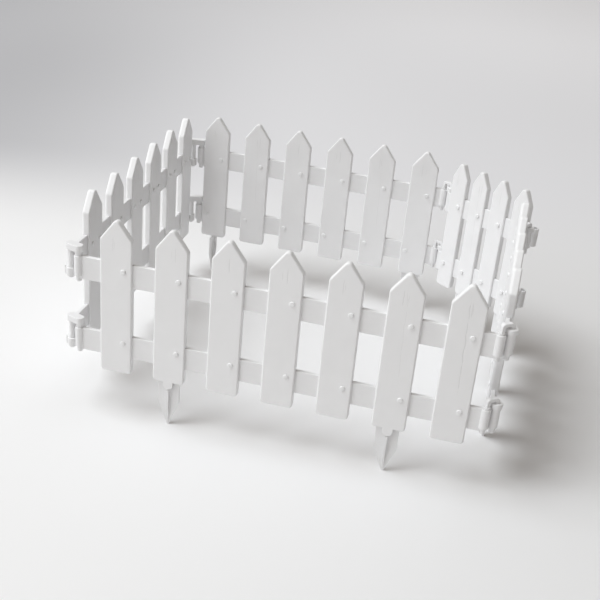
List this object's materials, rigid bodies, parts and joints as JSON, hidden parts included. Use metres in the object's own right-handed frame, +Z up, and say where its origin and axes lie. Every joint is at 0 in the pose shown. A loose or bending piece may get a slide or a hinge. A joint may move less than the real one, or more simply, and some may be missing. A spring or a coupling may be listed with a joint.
{
  "type": "hinged picket fence panels",
  "caption": "Ring of low white plastic picket fence panels on ground stakes, hooked together at the corners by barrel-and-pin links, open inside for a planting bed.",
  "frame": {"origin": "middle of the whole set's footprint, at the height of the stake tips", "axes": "+X along the front panel to the right, +Y from the front panel to the back panel, +Z up"},
  "size_m": [0.7128, 0.6112, 0.3324],
  "materials": {
    "picket_plastic": "white moulded polypropylene, satin, faint grain marks",
    "rail_plastic": "white moulded polypropylene, satin",
    "stake_plastic": "white moulded polypropylene, satin",
    "link_plastic": "white moulded polypropylene, satin"
  },
  "bodies": {
    "front": {"front_pickets": "picket_plastic", "front_upper_rail": "rail_plastic", "front_lower_rail": "rail_plastic", "front_stakes": "stake_plastic", "front_left_links": "link_plastic", "front_right_links": "link_plastic"},
    "left": {"left_pickets": "picket_plastic", "left_upper_rail": "rail_plastic", "left_lower_rail": "rail_plastic", "left_stakes": "stake_plastic"},
    "back": {"back_pickets": "picket_plastic", "back_upper_rail": "rail_plastic", "back_lower_rail": "rail_plastic", "back_stakes": "stake_plastic", "back_left_links": "link_plastic", "back_corner_links": "link_plastic"},
    "corner": {"corner_pickets": "picket_plastic", "corner_upper_rail": "rail_plastic", "corner_lower_rail": "rail_plastic", "corner_stakes": "stake_plastic"},
    "right": {"right_pickets": "picket_plastic", "right_upper_rail": "rail_plastic", "right_lower_rail": "rail_plastic", "right_stakes": "stake_plastic", "right_corner_links": "link_plastic"}
  },
  "joints": [
    {"name": "left_hinge", "type": "hinge", "parent": "front", "child": "left", "pos_m": [-0.3316, -0.29367, 0.2], "axis": [0, 0, 1], "range_deg": [0, 90]},
    {"name": "back_hinge", "type": "hinge", "parent": "left", "child": "back", "pos_m": [-0.3427, 0.28422, 0.2], "axis": [0, 0, 1], "range_deg": [0, 90]},
    {"name": "corner_hinge", "type": "hinge", "parent": "back", "child": "corner", "pos_m": [0.18571, 0.26831, 0.2], "axis": [0, 0, 1], "range_deg": [0, 35]},
    {"name": "right_hinge", "type": "hinge", "parent": "front", "child": "right", "pos_m": [0.3305, -0.28917, 0.2], "axis": [0, 0, 1], "range_deg": [-90, 0]}
  ]
}
